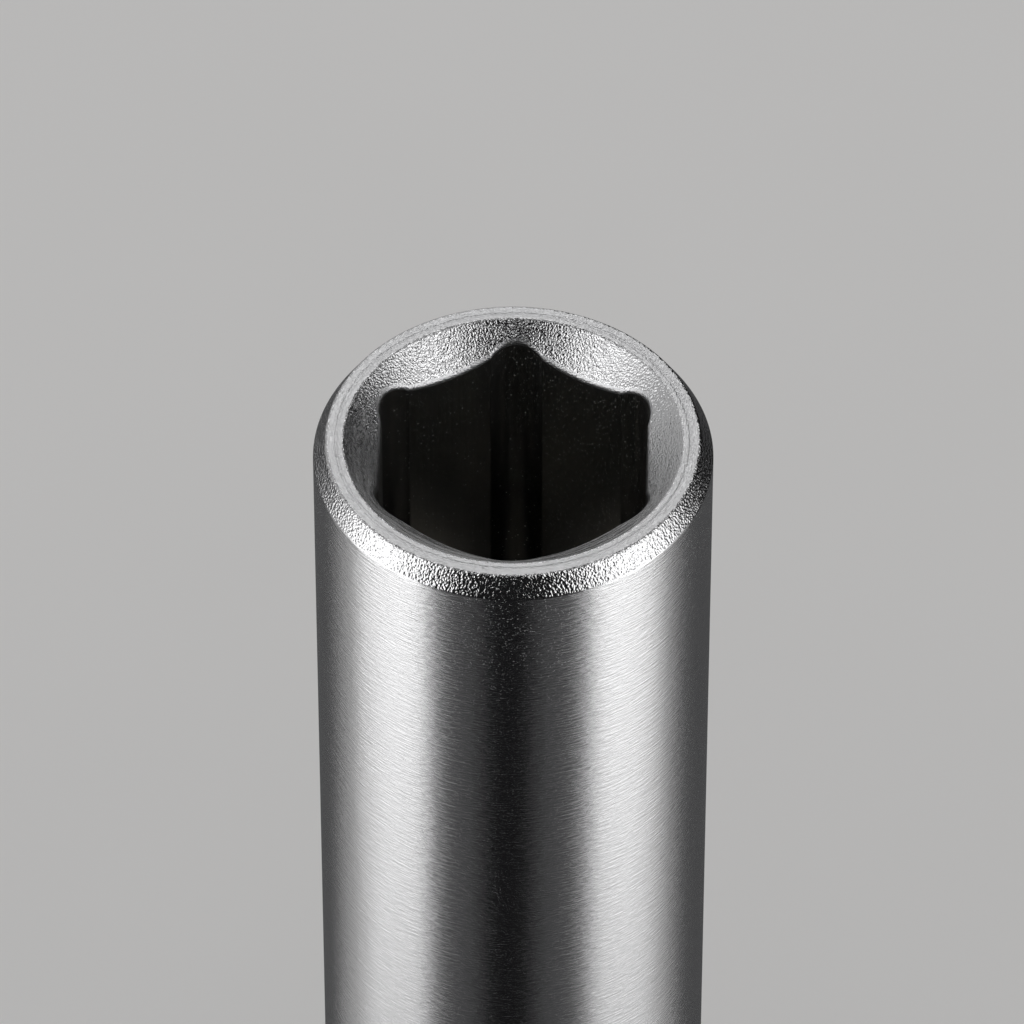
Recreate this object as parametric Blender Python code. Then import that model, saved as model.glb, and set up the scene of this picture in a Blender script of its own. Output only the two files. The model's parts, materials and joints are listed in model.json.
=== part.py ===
"""Deep hexagon socket for a small square drive, with a spring-loaded holding magnet in its bore.

The socket stands on its drive end. The origin is the centre of the drive face, +Z runs along the axis to the
hexagon's mouth, and two of the hexagon's corners lie on the Y axis. Lengths are in metres.
"""

import math

import bmesh
import bpy

MM = 0.001

# Hexagon and nose
HEX_ACROSS_FLATS = 8.05 * MM
HEX_DEPTH = 14.0 * MM  # rim to the end of the full hexagon
RELIEF_RADIUS = 1.0 * MM  # round relief that keeps the load off the hexagon's corners
RELIEF_BULGE = 0.073 * MM  # the relief stands this far outside the flats
RUNOUT_HEIGHT = 0.8 * MM  # taper from the hexagon down to the round bore
RUNOUT_INSET = 0.05 * MM  # the taper ends this far inside the bore's wall
MOUTH_LEAD = 0.48 * MM  # rim's inner edge outside the hexagon's sharp corners
MOUTH_DEPTH = 0.94 * MM  # depth of the countersink at the flats
RIM_WIDTH = 0.535 * MM
NOSE_CHAMFER_WIDTH = 0.385 * MM
NOSE_CHAMFER_HEIGHT = 0.645 * MM

# Barrel and drive end
SOCKET_LENGTH = 50.0 * MM
DRIVE_SQUARE = 6.45 * MM  # takes a 6.35 mm square
DRIVE_CORNER_RADIUS = 0.5 * MM
DRIVE_DEPTH = 8.5 * MM
DRIVE_WALL = 1.7 * MM  # outside the square's corners
DRIVE_LEAD = 0.4 * MM  # chamfer round the square's mouth
DRIVE_CHAMFER = 0.55 * MM  # chamfer round the drive face
DETENT_HEIGHT = 4.0 * MM  # drive face to the middle of the ball groove
DETENT_FLOOR = 1.4 * MM  # width of the groove's floor
DETENT_DEPTH = 0.4 * MM  # groove depth at the middle of each wall
WEB_THICKNESS = 3.5 * MM  # between the square and the bore

# Bore and the pieces in it
BORE_STEP = 0.17 * MM  # the bore's wall stands this far inside the flats
SEAT_GAP = 0.03 * MM  # left between pieces that rest on each other
RING_WIRE = 0.8 * MM
RING_GROOVE_DEPTH = 0.4 * MM
RING_PLAY = 0.05 * MM  # round the wire in its groove
RING_LAND = 1.5 * MM  # wall between the run-out and the groove
RING_OPENING = 45.0  # degrees between the ring's ends
FLANGE_CLEARANCE = 0.08 * MM  # cup's flange in the bore
FLANGE_HEIGHT = 2.4 * MM
NECK_CLEARANCE = 0.2 * MM  # cup's neck in the ring
CUP_WALL = 0.6 * MM  # round the magnet
CUP_CHAMFER = 0.2 * MM
MAGNET_THICKNESS = 3.0 * MM
MAGNET_STAND = 0.2 * MM  # magnet's face above the cup's rim
MAGNET_CHAMFER = 0.15 * MM
SPRING_WIRE = 0.4 * MM
SPRING_CLEARANCE = 0.5 * MM  # spring in the bore
SPRING_LEDGE = 0.6 * MM  # web left inside the spring's foot
SPRING_TURNS = 11
SPRING_CLOSED_GAP = 0.06 * MM  # between the closed turns at each end
SPIGOT_CLEARANCE = 0.15 * MM  # cup's spigot in the spring
SPIGOT_HEIGHT = 2.0 * MM

# Facets
ROUND_STEPS = 96
ARC_STEPS = 8
WIRE_STEPS = 20  # points in one turn of spring wire
RING_STEPS = 36
WIRE_SIDE_STEPS = 2  # gives the wire eight sides
CUT_OVERRUN = 1.0 * MM  # cutters reach this far past the faces they open
MERGE = 0.001 * MM
SMOOTH_ANGLE = math.radians(25)

# Radii that follow
hex_corner = HEX_ACROSS_FLATS / math.sqrt(3)
mouth_radius = hex_corner + MOUTH_LEAD
rim_radius = mouth_radius + RIM_WIDTH
nose_radius = rim_radius + NOSE_CHAMFER_WIDTH
square_corner = (DRIVE_SQUARE / 2 - DRIVE_CORNER_RADIUS) * math.sqrt(2) + DRIVE_CORNER_RADIUS
drive_radius = square_corner + DRIVE_WALL
bore_radius = HEX_ACROSS_FLATS / 2 - BORE_STEP
groove_radius = bore_radius + RING_GROOVE_DEPTH
ring_radius = groove_radius - RING_PLAY - RING_WIRE / 2
flange_radius = bore_radius - FLANGE_CLEARANCE
neck_radius = ring_radius - RING_WIRE / 2 - NECK_CLEARANCE
pocket_radius = neck_radius - CUP_WALL
magnet_radius = pocket_radius - SEAT_GAP
spring_radius = bore_radius - SPRING_CLEARANCE - SPRING_WIRE / 2
spigot_radius = spring_radius - SPRING_WIRE / 2 - SPIGOT_CLEARANCE
core_radius = spring_radius - SPRING_WIRE / 2 - SPRING_LEDGE

# Heights above the drive face that follow
bore_floor = DRIVE_DEPTH + WEB_THICKNESS
hex_floor = SOCKET_LENGTH - HEX_DEPTH
groove_half = RING_WIRE / 2 + RING_PLAY
ring_height = hex_floor - RUNOUT_HEIGHT - RING_LAND - groove_half
flange_top = ring_height - RING_WIRE / 2 - SEAT_GAP


def clear_scene():
    for thing in list(bpy.data.objects):
        bpy.data.objects.remove(thing)


def metal(name, colour, roughness):
    """A bare or plated metal finish."""
    finish = bpy.data.materials.new(name)
    finish.use_nodes = True
    shader = finish.node_tree.nodes["Principled BSDF"]
    shader.inputs["Base Color"].default_value = (*colour, 1.0)
    shader.inputs["Roughness"].default_value = roughness
    shader.inputs["Metallic"].default_value = 1.0
    return finish


def add_object(name, data, parent=None, height=0.0, finish=None):
    """An object on the socket's axis, this far up from its parent's origin."""
    made = bpy.data.objects.new(name, data)
    bpy.context.scene.collection.objects.link(made)
    made.parent = parent
    made.location = (0.0, 0.0, height)
    if finish:
        data.materials.append(finish)
    return made


def finished_mesh(name, shape):
    """The bmesh as a mesh whose faces point out, smooth across shallow edges."""
    bmesh.ops.remove_doubles(shape, verts=shape.verts, dist=MERGE)
    bmesh.ops.recalc_face_normals(shape, faces=shape.faces)
    mesh = bpy.data.meshes.new(name)
    shape.to_mesh(mesh)
    shape.free()
    mesh.shade_smooth()
    mesh.set_sharp_from_angle(angle=SMOOTH_ANGLE)
    return mesh


def turned(name, profile):
    """A solid turned about Z from (radius, height) points that start and end on the axis."""
    shape = bmesh.new()
    points = [shape.verts.new((radius, 0.0, height)) for radius, height in profile]
    edges = [shape.edges.new(pair) for pair in zip(points, points[1:])]
    bmesh.ops.spin(
        shape,
        geom=points + edges,
        cent=(0.0, 0.0, 0.0),
        axis=(0.0, 0.0, 1.0),
        angle=math.tau,
        steps=ROUND_STEPS,
        use_merge=True,
    )
    return finished_mesh(name, shape)


def lofted(name, sections):
    """A solid through (outline, height) sections, whose outlines have equal numbers of points."""
    shape = bmesh.new()
    loops = []
    for outline, height in sections:
        loops.append([shape.verts.new((x, y, height)) for x, y in outline])
    for lower, upper in zip(loops, loops[1:]):
        for i in range(len(lower)):
            shape.faces.new((lower[i - 1], lower[i], upper[i], upper[i - 1]))
    shape.faces.new(loops[0])
    shape.faces.new(loops[-1])
    return finished_mesh(name, shape)


def wire_curve(name, points, diameter):
    """A round wire with closed ends along the points."""
    path = bpy.data.curves.new(name, "CURVE")
    path.dimensions = "3D"
    path.bevel_depth = diameter / 2
    path.bevel_resolution = WIRE_SIDE_STEPS
    path.use_fill_caps = True
    spline = path.splines.new("POLY")
    spline.points.add(len(points) - 1)
    for place, point in zip(spline.points, points):
        place.co = (*point, 1.0)
    return path


def polar(radius, angle, centre=(0.0, 0.0)):
    return (
        centre[0] + radius * math.cos(angle),
        centre[1] + radius * math.sin(angle),
    )


def cornered_outline(sides, centre_distance, radius, half_sweep, first_corner):
    """Straight sides between arcs, one at each corner, swept half_sweep to either side of it."""
    outline = []
    for corner in range(sides):
        bisector = first_corner + math.tau * corner / sides
        centre = polar(centre_distance, bisector)
        for step in range(ARC_STEPS + 1):
            sweep = half_sweep * (2 * step / ARC_STEPS - 1)
            outline.append(polar(radius, bisector + sweep, centre))
    return outline


def hexagon_outline():
    """The hexagon, with a round relief at each corner that stands a little outside the flats."""
    centre_to_flat = RELIEF_RADIUS - RELIEF_BULGE
    centre_distance = (HEX_ACROSS_FLATS / 2 - centre_to_flat) / math.cos(math.pi / 6)
    half_sweep = math.pi / 6 + math.acos(centre_to_flat / RELIEF_RADIUS)
    return cornered_outline(6, centre_distance, RELIEF_RADIUS, half_sweep, math.pi / 2)


def square_outline(side, corner_radius):
    centre_distance = (side / 2 - corner_radius) * math.sqrt(2)
    return cornered_outline(4, centre_distance, corner_radius, math.pi / 4, math.pi / 4)


def round_outline(radius, like):
    """A circle with one point at the angle of each point of another outline."""
    return [polar(radius, math.atan2(y, x)) for x, y in like]


def cut(target, name, mesh):
    """Takes a cutter's shape out of the target."""
    cutter = add_object(name, mesh, target)
    cutter.hide_render = True
    cutter.display_type = "WIRE"
    difference = target.modifiers.new(name, "BOOLEAN")
    difference.operation = "DIFFERENCE"
    difference.solver = "EXACT"
    difference.object = cutter


def barrel_profile():
    """Chamfered nose, straight barrel and chamfered drive end."""
    return [
        (0.0, SOCKET_LENGTH),
        (rim_radius, SOCKET_LENGTH),
        (nose_radius, SOCKET_LENGTH - NOSE_CHAMFER_HEIGHT),
        (nose_radius, hex_floor),
        (drive_radius, bore_floor),
        (drive_radius, DRIVE_CHAMFER),
        (drive_radius - DRIVE_CHAMFER, 0.0),
        (0.0, 0.0),
    ]


def bore_profile():
    """Countersink at the mouth, bore, ring groove, and the hole through the web."""
    slope = (mouth_radius - HEX_ACROSS_FLATS / 2) / MOUTH_DEPTH
    countersink_end = SOCKET_LENGTH - (mouth_radius - bore_radius) / slope
    above = SOCKET_LENGTH + CUT_OVERRUN
    below = DRIVE_DEPTH - CUT_OVERRUN
    return [
        (0.0, above),
        (mouth_radius + CUT_OVERRUN * slope, above),
        (bore_radius, countersink_end),
        (bore_radius, ring_height + groove_half),
        (groove_radius, ring_height + groove_half),
        (groove_radius, ring_height - groove_half),
        (bore_radius, ring_height - groove_half),
        (bore_radius, bore_floor),
        (core_radius, bore_floor),
        (core_radius, below),
        (0.0, below),
    ]


def detent_profile():
    """Groove for the drive's ball: a flat floor between two 45 degree flanks."""
    radius = DRIVE_SQUARE / 2 + DETENT_DEPTH
    top = DETENT_HEIGHT + DETENT_FLOOR / 2
    bottom = DETENT_HEIGHT - DETENT_FLOOR / 2
    return [(0.0, top + radius), (radius, top), (radius, bottom), (0.0, bottom - radius)]


def hexagon_sections():
    """The full hexagon from its floor to above the rim, and its taper to the round bore."""
    hexagon = hexagon_outline()
    taper_end = round_outline(bore_radius - RUNOUT_INSET, hexagon)
    return [
        (taper_end, hex_floor - RUNOUT_HEIGHT),
        (hexagon, hex_floor),
        (hexagon, SOCKET_LENGTH + CUT_OVERRUN),
    ]


def square_sections():
    """The square with its chamfered mouth, which widens to below the drive face."""
    square = square_outline(DRIVE_SQUARE, DRIVE_CORNER_RADIUS)
    widening = DRIVE_LEAD + CUT_OVERRUN
    mouth = square_outline(DRIVE_SQUARE + 2 * widening, DRIVE_CORNER_RADIUS + widening)
    return [(mouth, -CUT_OVERRUN), (square, DRIVE_LEAD), (square, DRIVE_DEPTH)]


def make_socket_body(socket, finish):
    """One forging: a barrel with the relieved hexagon in its nose and the square drive in its foot."""
    body = add_object("socket_body", turned("socket_body", barrel_profile()), socket, 0.0, finish)
    cut(body, "bore_cutter", turned("bore_cutter", bore_profile()))
    cut(body, "hexagon_cutter", lofted("hexagon_cutter", hexagon_sections()))
    cut(body, "square_cutter", lofted("square_cutter", square_sections()))
    cut(body, "detent_cutter", turned("detent_cutter", detent_profile()))


def make_retaining_ring(socket, finish):
    """Open ring of round wire, sprung into the groove under the hexagon, which stops the cup."""
    opening = math.radians(RING_OPENING)
    points = []
    for step in range(RING_STEPS + 1):
        angle = opening / 2 + (math.tau - opening) * step / RING_STEPS
        points.append((*polar(ring_radius, angle), 0.0))
    ring = wire_curve("retaining_ring", points, RING_WIRE)
    add_object("retaining_ring", ring, socket, ring_height, finish)


def make_magnet_cup(socket, finish):
    """Turned cup that slides in the bore. Its origin is on the axis, level with the flange's stop face."""
    neck_top = MAGNET_THICKNESS + SEAT_GAP - MAGNET_STAND
    spigot_end = -FLANGE_HEIGHT - SPIGOT_HEIGHT
    profile = [
        (0.0, 0.0),
        (pocket_radius, 0.0),
        (pocket_radius, neck_top),
        (neck_radius - CUP_CHAMFER, neck_top),
        (neck_radius, neck_top - CUP_CHAMFER),
        (neck_radius, 0.0),
        (flange_radius - CUP_CHAMFER, 0.0),
        (flange_radius, -CUP_CHAMFER),
        (flange_radius, CUP_CHAMFER - FLANGE_HEIGHT),
        (flange_radius - CUP_CHAMFER, -FLANGE_HEIGHT),
        (spigot_radius, -FLANGE_HEIGHT),
        (spigot_radius, spigot_end + CUP_CHAMFER),
        (spigot_radius - CUP_CHAMFER, spigot_end),
        (0.0, spigot_end),
    ]
    return add_object("magnet_cup", turned("magnet_cup", profile), socket, flange_top, finish)


def make_holding_magnet(cup, finish):
    """Magnet disc that stands a little proud of the cup's pocket."""
    profile = [
        (0.0, MAGNET_THICKNESS),
        (magnet_radius - MAGNET_CHAMFER, MAGNET_THICKNESS),
        (magnet_radius, MAGNET_THICKNESS - MAGNET_CHAMFER),
        (magnet_radius, MAGNET_CHAMFER),
        (magnet_radius - MAGNET_CHAMFER, 0.0),
        (0.0, 0.0),
    ]
    add_object("holding_magnet", turned("holding_magnet", profile), cup, SEAT_GAP, finish)


def make_return_spring(socket, finish):
    """Compression spring from the bore's floor to the cup's flange, with one closed turn at each end."""
    first = SEAT_GAP + SPRING_WIRE / 2
    last = flange_top - FLANGE_HEIGHT - bore_floor - SEAT_GAP - SPRING_WIRE / 2
    closed_pitch = SPRING_WIRE + SPRING_CLOSED_GAP
    open_pitch = (last - first - 2 * closed_pitch) / (SPRING_TURNS - 2)
    points = []
    for step in range(SPRING_TURNS * WIRE_STEPS + 1):
        turn = step / WIRE_STEPS
        open_turns = min(max(turn - 1, 0), SPRING_TURNS - 2)
        height = first + (turn - open_turns) * closed_pitch + open_turns * open_pitch
        points.append((*polar(spring_radius, turn * math.tau), height))
    spring = wire_curve("return_spring", points, SPRING_WIRE)
    add_object("return_spring", spring, socket, bore_floor, finish)


def main():
    clear_scene()
    socket = add_object("deep_socket", None)
    make_socket_body(socket, metal("satin_chrome", (0.62, 0.62, 0.63), 0.32))
    make_retaining_ring(socket, metal("black_spring_steel", (0.09, 0.09, 0.1), 0.4))
    cup = make_magnet_cup(socket, metal("zinc_plate", (0.5, 0.51, 0.53), 0.42))
    make_holding_magnet(cup, metal("nickel_plate", (0.66, 0.63, 0.57), 0.2))
    make_return_spring(socket, metal("bright_spring_steel", (0.52, 0.52, 0.53), 0.28))


main()
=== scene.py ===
"""Looks of the deep socket: a satin chrome body, the magnet insert in its bore, and a small studio.

Lengths are in metres and angles in radians. +Z runs along the axis from the drive face to the rim.
"""

import json
import math
from collections import namedtuple

import bpy
import numpy as np
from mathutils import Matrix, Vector


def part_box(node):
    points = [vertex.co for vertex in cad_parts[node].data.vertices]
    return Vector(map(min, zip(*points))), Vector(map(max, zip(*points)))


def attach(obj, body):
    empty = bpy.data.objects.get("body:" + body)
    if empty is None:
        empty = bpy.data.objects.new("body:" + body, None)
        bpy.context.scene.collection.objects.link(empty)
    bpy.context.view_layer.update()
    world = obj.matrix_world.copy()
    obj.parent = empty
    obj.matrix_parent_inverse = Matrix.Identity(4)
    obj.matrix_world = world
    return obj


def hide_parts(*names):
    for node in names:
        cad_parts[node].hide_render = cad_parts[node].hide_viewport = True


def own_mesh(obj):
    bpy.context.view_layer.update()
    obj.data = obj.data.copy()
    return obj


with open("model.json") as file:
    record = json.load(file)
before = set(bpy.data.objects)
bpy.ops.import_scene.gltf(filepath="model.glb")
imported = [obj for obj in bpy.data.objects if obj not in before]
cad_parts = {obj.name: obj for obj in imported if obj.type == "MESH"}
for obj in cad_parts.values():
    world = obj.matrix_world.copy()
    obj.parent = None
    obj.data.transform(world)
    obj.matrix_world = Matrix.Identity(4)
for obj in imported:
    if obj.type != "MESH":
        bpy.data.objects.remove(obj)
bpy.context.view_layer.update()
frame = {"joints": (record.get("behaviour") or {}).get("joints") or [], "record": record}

bl_info = {
    "name": "Deep Socket",
    "version": (1, 0, 0),
    "blender": (4, 5, 0),
    "location": "3D View > Sidebar > Socket",
    "description": "Dresses a deep socket and the spring-loaded magnet in its bore",
    "category": "Add Mesh",
}

MM = 0.001

mount_place = {mount["name"]: mount["pos_m"] for mount in frame["record"]["mounts"]}
body_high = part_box("socket_body")[1]
ring_low, ring_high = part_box("retaining_ring")
cup_low, cup_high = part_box("magnet_cup")
magnet_low, magnet_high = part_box("holding_magnet")
spring_low, spring_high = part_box("return_spring")
slide = frame["joints"][0]
bore_floor = slide["deforming_nodes"][0]["fixed_end_z_m"]


# Sizes and colours

def linear(code):
    """Linear red, green and blue of an sRGB hex code."""
    srgb = [int(code[i : i + 2], 16) / 255 for i in (1, 3, 5)]
    return tuple(c / 12.92 if c <= 0.04045 else ((c + 0.055) / 1.055) ** 2.4 for c in srgb)


def length(name, description, default):
    """A length that a user may change."""
    return bpy.props.FloatProperty(
        name=name, description=description, default=default, unit="LENGTH", precision=5
    )


def colour(name, description, code):
    """A colour that a user may change, with an sRGB hex code for its default."""
    return bpy.props.FloatVectorProperty(
        name=name, description=description, default=linear(code), subtype="COLOR", min=0.0, max=1.0
    )


class SocketSizes(bpy.types.PropertyGroup):
    """Sizes of the socket's body"""

    across_flats: length(
        "Across flats", "Between opposite flats of the hexagon", 2 * mount_place["hexagon_flat"][0]
    )
    hexagon_depth: length("Hexagon depth", "From the rim to the end of the full hexagon", 14.0 * MM)
    relief_radius: length("Relief radius", "Round relief at each corner of the hexagon", 1.0 * MM)
    relief_bulge: length("Relief bulge", "How far the relief stands outside the flats", 0.073 * MM)
    runout_height: length("Run-out height", "Taper from the hexagon to the bore", 0.8 * MM)
    runout_inset: length("Run-out inset", "How far the taper would go on inside the bore's wall", 0.05 * MM)
    mouth_lead: length("Mouth lead", "Rim's inner edge outside the hexagon's sharp corners", 0.48 * MM)
    mouth_depth: length("Mouth depth", "Depth of the countersink at the flats", 0.94 * MM)
    mouth_round: length("Mouth rounding", "Cut-back of the edge between countersink and hexagon", 0.12 * MM)
    rim_width: length("Rim width", "Flat ring round the mouth", 0.535 * MM)
    rim_line: length("Rim line", "Turned line, outside the rim's inner edge", 0.22 * MM)
    rim_line_depth: length("Rim line depth", "Depth of the turned line", 0.013 * MM)
    rim_line_width: length("Rim line width", "Width of the turned line", 0.13 * MM)
    chamfer_width: length("Chamfer width", "Nose chamfer along the rim", 0.385 * MM)
    chamfer_height: length("Chamfer height", "Nose chamfer along the barrel", 0.645 * MM)
    edge_round: length("Edge rounding", "Cut-back of the turned edges", 0.035 * MM)
    inner_round: length("Inner rounding", "Cut-back of the edges in the bore and the square", 0.03 * MM)
    drive_square: length("Drive square", "Across the square", 2 * mount_place["square_drive_wall"][0])
    drive_corner: length("Drive corner", "Corner radius of the square", 0.5 * MM)
    drive_depth: length("Drive depth", "Depth of the square", 8.5 * MM)
    drive_lead: length("Drive lead", "Chamfer round the square's mouth", 0.4 * MM)
    drive_chamfer: length("Drive chamfer", "Chamfer round the drive face", 0.55 * MM)
    detent_height: length("Detent height", "Drive face to the middle of the ball groove", 4.0 * MM)
    detent_floor: length("Detent floor", "Width of the ball groove's floor", 1.4 * MM)
    detent_depth: length("Detent depth", "Ball groove's depth in a wall", 0.4 * MM)
    bore_step: length("Bore step", "Bore's wall inside the flats", 0.17 * MM)
    ring_play: length("Ring play", "Room round the ring's wire in its groove", 0.05 * MM)
    core_radius: length("Core radius", "Hole through the web", 2.355 * MM)


class InsertSizes(bpy.types.PropertyGroup):
    """Sizes of the magnet insert"""

    ring_opening: bpy.props.FloatProperty(
        name="Ring opening",
        description="Between the ring's ends",
        default=math.radians(45),
        subtype="ANGLE",
    )
    flange_height: length("Flange height", "Cup's flange in the bore", 2.4 * MM)
    spigot_height: length("Spigot height", "Cup's spigot in the spring", 2.0 * MM)
    neck_clearance: length("Neck clearance", "Cup's neck in the ring", 0.2 * MM)
    cup_wall: length("Cup wall", "Cup's wall round the magnet", 0.6 * MM)
    cup_chamfer: length("Cup chamfer", "Chamfers of the cup", 0.2 * MM)
    cup_round: length("Cup rounding", "Cut-back of the cup's edges", 0.05 * MM)
    magnet_chamfer: length("Magnet chamfer", "Chamfers of the magnet", 0.15 * MM)
    magnet_round: length("Magnet rounding", "Cut-back of the magnet's edges", 0.06 * MM)
    spring_wire: length("Spring wire", "Diameter of the spring's wire", 0.4 * MM)
    spring_play: length("Spring play", "Between the spring and the cup's spigot", 0.15 * MM)
    closed_gap: length("Closed gap", "Between the closed turns at the spring's ends", 0.06 * MM)
    spring_turns: bpy.props.IntProperty(
        name="Spring turns", description="Turns of the spring", default=11, min=3
    )


class FinishColours(bpy.types.PropertyGroup):
    """Colours of the finishes"""

    chrome: colour("Chrome", "Satin chrome on the outside", "#CDCDCE")
    broached: colour("Broached steel", "Oiled steel in the hexagon, bore and square", "#9E9D9B")
    # painted light: the deeper flats are painted lighter, a painted reflection of the light they would catch
    painted_light_flats: colour("Bare steel", "Flats further in than the chrome was thrown", "#B4B2AF")
    # painted shade: the reliefs in the hexagon's corners are painted dark, standing in for the shade in those
    # recesses
    painted_shade_reliefs: colour("Hardened steel", "Black left by the hardening in the corners", "#5E5D5C")
    dust: colour("Dust", "Specks of dust on the oiled steel", "#F4F3F0")
    blackened: colour("Blackened steel", "Retaining ring", "#565658")
    zinc: colour("Zinc", "Magnet cup", "#BABCC0")
    nickel: colour("Nickel", "Holding magnet", "#D4D0C6")
    wire: colour("Spring wire", "Return spring", "#BEBEC0")
    floor: colour("Floor", "Pale floor", "#F0EFEE")


# Surfaces

BEND_ROWS = 5
FLAT_STEPS = 25
RELIEF_STEPS = 27
SQUARE_CORNER_STEPS = 7
CREASE = math.radians(0.3)  # from the end of a relief to the next column, which keeps that edge crisp
ROUND_STEPS = 144
WIRE_SIDES = 20
WIRE_END_ROWS = 6
RING_STEPS = 120
SPRING_TURN_STEPS = 48
CUT_SHARE = 0.3  # of a side, the most that a corner's rounding takes
CLOSE_ROW = 0.02 * MM  # from a bend to the next straight row, at least

# Finishes of the body's strips, in the order of its materials
BRUSHED, BLASTED, SUNK, TURNED, BROACHED = range(5)

# The one finish of the cup or the magnet
PLATED = 0

Corner = namedtuple("Corner", "radius height cut rows finish bend_finish", defaults=[None])


def flat_half_angle(sides, across, corner_radius, bulge):
    """Angle from the middle of a polygon's flat to the arc at its corner.

    The arc stands the bulge outside the flat, so the flat's line cuts a chord from its circle. The arc starts
    half that chord before the foot of its centre on the flat.
    """
    half_side = math.pi / sides
    foot = (across / 2 - corner_radius + bulge) * math.tan(half_side)
    overlap = math.sqrt(corner_radius**2 - (corner_radius - bulge) ** 2)
    return math.atan((foot - overlap) / (across / 2))


def cornered_radius(angle, sides, across, corner_radius, bulge=0.0):
    """Distance from the axis to a polygon whose corners are arcs.

    Along a flat it is the apothem over the cosine of the angle from the flat's middle. At a corner it is the
    far crossing of the ray with the arc's circle, whose centre lies on the corner's bisector, placed so that
    the arc stands the bulge outside the flats.
    """
    half_side = math.pi / sides
    centre = (across / 2 - corner_radius + bulge) / math.cos(half_side)
    from_flat = np.abs((angle + half_side) % (2 * half_side) - half_side)
    from_corner = half_side - from_flat
    reach = np.maximum(corner_radius**2 - (centre * np.sin(from_corner)) ** 2, 0.0)
    arc = centre * np.cos(from_corner) + np.sqrt(reach)
    flat = across / 2 / np.cos(from_flat)
    return np.where(from_flat <= flat_half_angle(sides, across, corner_radius, bulge), flat, arc)


def repeated(sector, count):
    """The angles of one sector, repeated evenly round the axis."""
    return (sector + math.tau / count * np.arange(count)[:, None]).ravel() % math.tau


def body_angles(sizes):
    """Angles round the axis, with close ones at both ends of each relief and in the square's corners."""
    flat = flat_half_angle(6, sizes.across_flats, sizes.relief_radius, sizes.relief_bulge)
    wall = flat_half_angle(4, sizes.drive_square, sizes.drive_corner, 0.0)
    relief_end = math.tau / 6 - flat
    along_flat = np.linspace(CREASE - flat, flat - CREASE, FLAT_STEPS)
    in_relief = np.linspace(flat + CREASE, relief_end - CREASE, RELIEF_STEPS)
    hexagon = repeated(np.concatenate([along_flat, [flat], in_relief, [relief_end]]), 6)
    square = repeated(np.linspace(wall, math.tau / 4 - wall, SQUARE_CORNER_STEPS), 4)
    angle = np.sort(np.concatenate([hexagon, square]))
    return angle[np.diff(angle, append=angle[0] + math.tau) > CREASE / 4]


def rounded_rows(corners, count, closed):
    """Rows of (radius, height) along a profile with rounded corners, and the finish of the strip after each.

    Each corner is cut back along both its sides and bridged by the parabola
    (1-t)(1-t) start + 2t(1-t) corner + t t end. Its straight rows follow, from close after this bend to close
    before the next, so that a flat stays flat in its shading. They have the corner's finish. The bend has the
    corner's bend finish or, without one, the finish that comes before it. The ends of an open profile lie on
    the axis and aren't rounded.
    """
    place = np.array([[np.broadcast_to(c.radius, count), np.broadcast_to(c.height, count)] for c in corners])
    place = np.moveaxis(place, 1, 2)
    step = np.roll(place, -1, axis=0) - place
    reach = np.linalg.norm(step, axis=2, keepdims=True)
    cut = np.array([c.cut for c in corners])[:, None, None]
    cut = np.minimum(cut, CUT_SHARE * np.minimum(reach, np.roll(reach, 1, axis=0)))
    if not closed:
        cut[[0, -1]] = 0.0
    heading = step / reach
    start = place - np.roll(heading, 1, axis=0) * cut
    end = place + heading * cut
    t = np.linspace(0.0, 1.0, BEND_ROWS)[:, None, None]
    rows = []
    finishes = []
    for i, corner in enumerate(corners):
        after = (i + 1) % len(corners)
        if closed or 0 < i < len(corners) - 1:
            rows.append((1 - t) ** 2 * start[i] + 2 * t * (1 - t) * place[i] + t**2 * end[i])
            bend_finish = corners[i - 1].finish if corner.bend_finish is None else corner.bend_finish
            finishes += [bend_finish] * (BEND_ROWS - 1) + [corner.finish]
        else:
            rows.append(place[i : i + 1])
            finishes += [corner.finish]
        if closed or after:
            near = np.maximum(cut[i], CLOSE_ROW) / reach[i]
            far = np.maximum(cut[after], CLOSE_ROW) / reach[i]
            share = near + (1 - near - far) * np.linspace(0.0, 1.0, corner.rows)[:, None, None]
            rows.append(end[i] + (start[after] - end[i]) * share)
            finishes += [corner.finish] * corner.rows
    return np.concatenate(rows), finishes


def turned_points(section, angle):
    """Points of a surface round the axis: (radius cos angle, radius sin angle, height)."""
    radius, height = section[..., 0], section[..., 1]
    return np.stack([radius * np.cos(angle), radius * np.sin(angle), height], axis=-1)


def coil_points(radius, angle, height, wire_radius):
    """Rows of points round a coiled wire with round ends.

    The wire's centre is (radius cos angle, radius sin angle, height). A row is a circle across the tangent
    there, and at both ends further circles close up on a half sphere.
    """
    rise = np.linspace(0.0, math.pi / 2, WIRE_END_ROWS)
    first, last = rise[:-1], rise[1:]
    index = np.pad(np.arange(len(angle)), WIRE_END_ROWS - 1, mode="edge")
    shift = wire_radius * np.concatenate([-np.cos(first), np.zeros(len(angle)), np.sin(last)])
    thickness = wire_radius * np.concatenate([np.sin(first), np.ones(len(angle)), np.cos(last)])
    centre = np.stack([radius * np.cos(angle), radius * np.sin(angle), height], axis=-1)
    tangent = np.gradient(centre, axis=0)
    tangent /= np.linalg.norm(tangent, axis=1, keepdims=True)
    outward = np.stack([np.cos(angle), np.sin(angle), np.zeros_like(angle)], axis=-1)
    across = np.cross(tangent, outward)
    turn = np.linspace(0.0, math.tau, WIRE_SIDES, endpoint=False)[:, None]
    ring = np.cos(turn) * outward[index][:, None] + np.sin(turn) * across[index][:, None]
    spine = centre[index] + shift[:, None] * tangent[index]
    return spine[:, None] + thickness[:, None, None] * ring


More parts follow.
